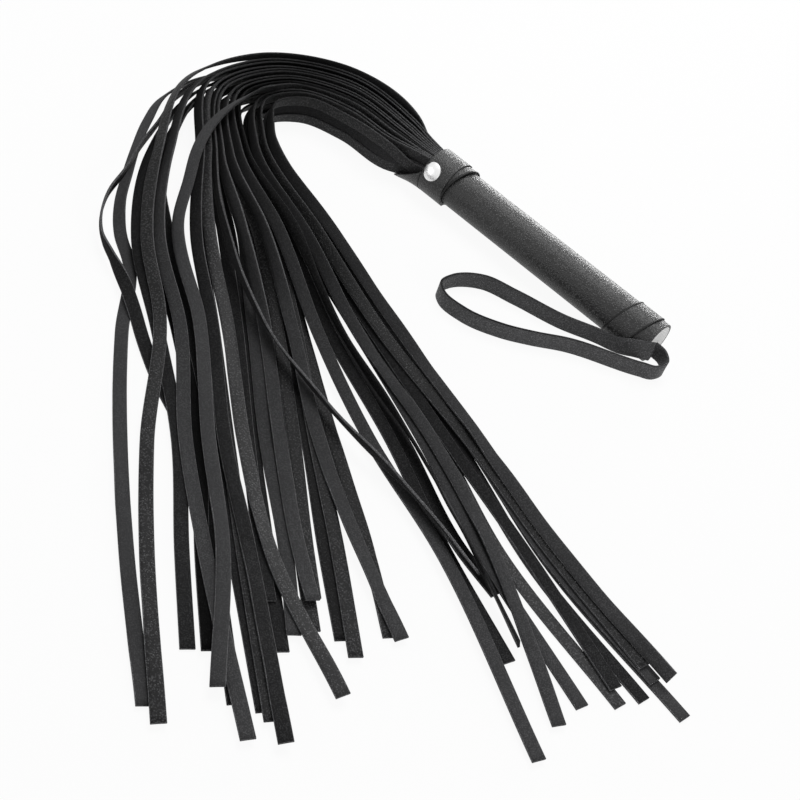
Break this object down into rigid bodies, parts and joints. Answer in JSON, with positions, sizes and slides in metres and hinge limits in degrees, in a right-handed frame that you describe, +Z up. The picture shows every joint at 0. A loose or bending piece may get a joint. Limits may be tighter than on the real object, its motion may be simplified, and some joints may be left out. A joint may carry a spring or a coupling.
{
  "type": "whip",
  "caption": "Many-tailed leather riding whip with a straight covered handle, a riveted front collar, a wrist strap and flat tails fanned out on the ground",
  "frame": {"origin": "On the ground, straight below the middle of the handle's axis", "axes": "+X along the handle from the collar and tails towards the rear end, +Z up, the whip lying on the plane Z = 0 with its tails and wrist strap on the -Y side"},
  "size_m": [0.4072, 0.3418, 0.0252],
  "materials": {
    "core": "pale, matt, cut end",
    "cover_leather": "black, pebbled, low sheen",
    "strap_leather": "black, pebbled face, paler cut edges",
    "tail_leather": "black, one face pebbled and one smooth, low sheen",
    "rivet_metal": "bright nickel"
  },
  "bodies": {
    "root": {"core_rod": "core", "handle_cover": "cover_leather", "front_collar": "cover_leather", "rear_wrap": "cover_leather", "rivet_cap": "rivet_metal", "rivet_post": "rivet_metal", "rivet_back": "rivet_metal", "wrist_strap": "strap_leather", "tail_01": "tail_leather", "tail_02": "tail_leather", "tail_03": "tail_leather", "tail_04": "tail_leather", "tail_05": "tail_leather", "tail_06": "tail_leather", "tail_07": "tail_leather", "tail_08": "tail_leather", "tail_09": "tail_leather", "tail_10": "tail_leather", "tail_11": "tail_leather", "tail_12": "tail_leather", "tail_13": "tail_leather", "tail_14": "tail_leather", "tail_15": "tail_leather", "tail_16": "tail_leather", "tail_17": "tail_leather", "tail_18": "tail_leather", "tail_19": "tail_leather", "tail_20": "tail_leather", "tail_21": "tail_leather", "tail_22": "tail_leather", "tail_23": "tail_leather", "tail_24": "tail_leather", "tail_25": "tail_leather", "tail_26": "tail_leather", "tail_27": "tail_leather", "tail_28": "tail_leather", "tail_29": "tail_leather", "tail_30": "tail_leather", "tail_31": "tail_leather", "tail_32": "tail_leather", "tail_33": "tail_leather", "tail_34": "tail_leather", "tail_35": "tail_leather"}
  },
  "joints": []
}
